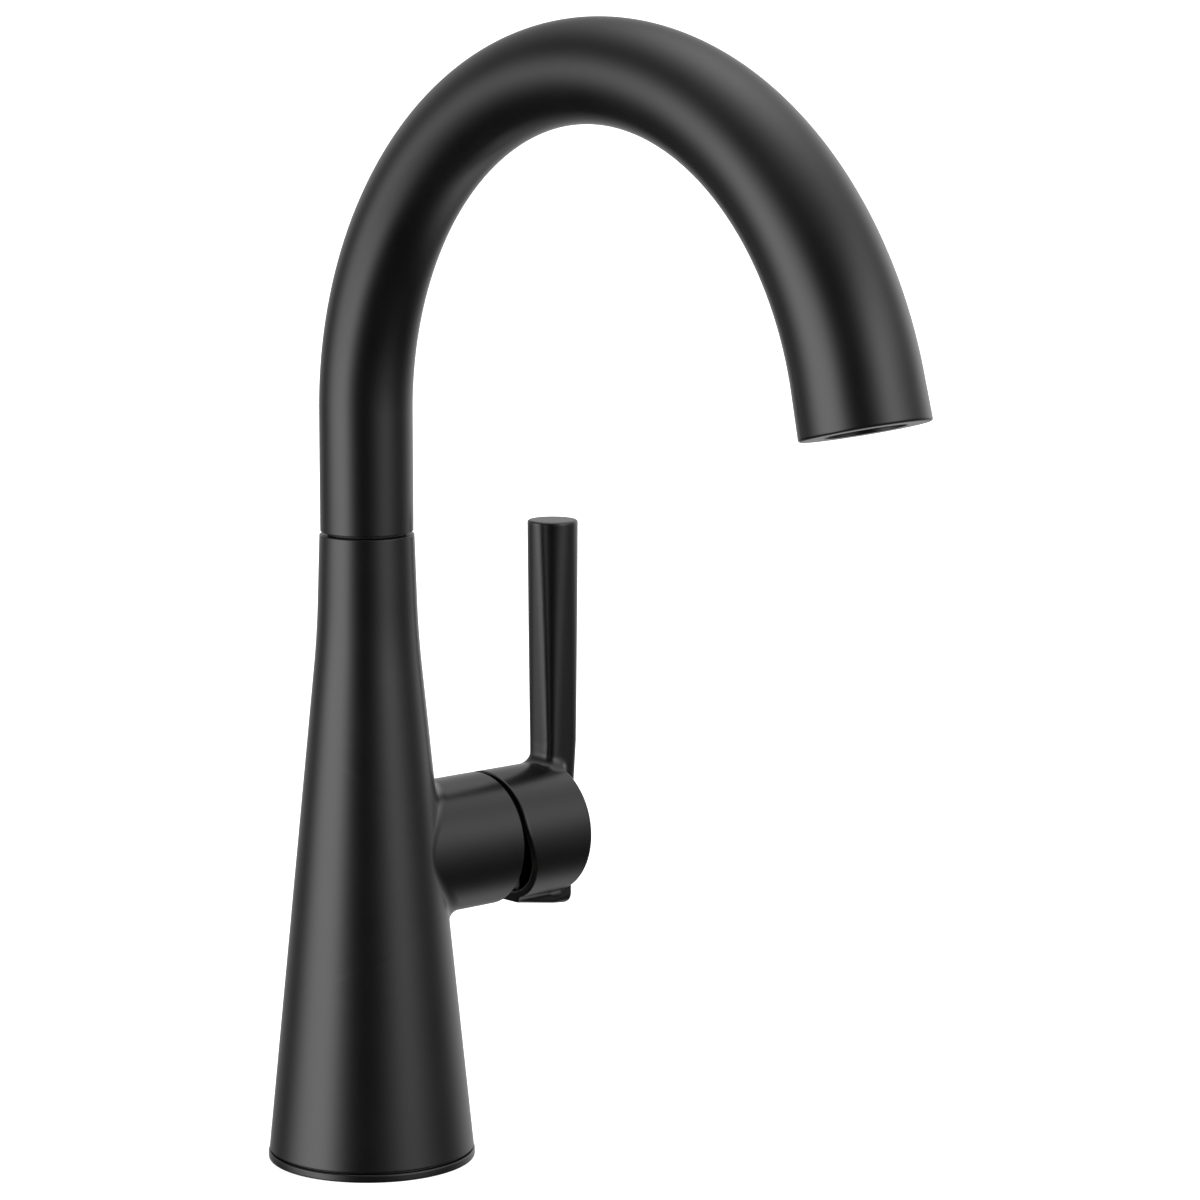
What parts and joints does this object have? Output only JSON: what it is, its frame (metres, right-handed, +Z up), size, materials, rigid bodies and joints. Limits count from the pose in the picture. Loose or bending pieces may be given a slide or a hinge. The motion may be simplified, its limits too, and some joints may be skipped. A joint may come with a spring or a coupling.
{
  "type": "bar faucet",
  "caption": "High-arc bar faucet: tapered column on a deck ring, swivel gooseneck spout flaring to a recessed aerator, and a side boss with an upright lever over a ceramic cartridge.",
  "frame": {"origin": "centre of the base ring on the deck surface", "axes": "+Z up along the column, -Y towards the outlet of the spout, +X towards the lever"},
  "size_m": [0.0937, 0.2128, 0.3614],
  "materials": {
    "black_coat": "matte",
    "black_plastic": "matte",
    "brass": "satin",
    "steel": "satin",
    "copper": "satin",
    "rubber": "matte",
    "white_plastic": "satin",
    "grey_plastic": "satin",
    "ceramic": "polished"
  },
  "bodies": {
    "column": {"body_shell": "black_coat", "base_ring": "black_coat", "glide_ring": "black_plastic", "bonnet_cap": "black_plastic", "valve_body": "brass", "spout_post": "brass", "bonnet_nut": "brass", "mounting_shank": "brass", "deck_nut": "brass", "steel_washer": "steel", "spout_clip": "steel", "cold_inlet_tube": "copper", "hot_inlet_tube": "copper", "mix_tube": "copper", "deck_gasket": "rubber", "soft_washer": "rubber", "port_seals": "rubber", "post_o_rings": "rubber", "cartridge_base": "white_plastic", "cartridge_housing": "white_plastic", "fixed_disc": "ceramic"},
    "spout": {"spout_tube": "black_coat", "spout_bushing": "white_plastic", "aerator_gasket": "rubber", "aerator_sleeve": "black_plastic", "flow_regulator": "grey_plastic", "stream_former": "grey_plastic"},
    "rotor": {"cartridge_rotor": "white_plastic", "pivot_pin": "steel"},
    "disc": {"moving_disc": "ceramic", "disc_carrier": "white_plastic"},
    "handle": {"lever": "black_coat", "stem": "steel", "set_screw": "steel"}
  },
  "joints": [
    {"name": "spout_swivel", "type": "hinge", "parent": "column", "child": "spout", "pos_m": [0, 0, 0.17], "axis": [0, 0, 1], "continuous": true},
    {"name": "lever_temperature", "type": "hinge", "parent": "column", "child": "rotor", "pos_m": [0.028, 0, 0.0764], "axis": [1, 0, 0], "range_deg": [-45, 45]},
    {"name": "lever_flow", "type": "hinge", "parent": "rotor", "child": "handle", "pos_m": [0.028, 0, 0.0764], "axis": [0, 1, 0], "range_deg": [0, 20]},
    {"name": "disc_slide", "type": "slide", "parent": "rotor", "child": "disc", "axis": [0, 0, 1], "range_m": [0, 0.00212]}
  ],
  "couplings": [
    {"joint": "disc_slide", "follows": "lever_flow", "m_per_rad": 0.006055}
  ]
}
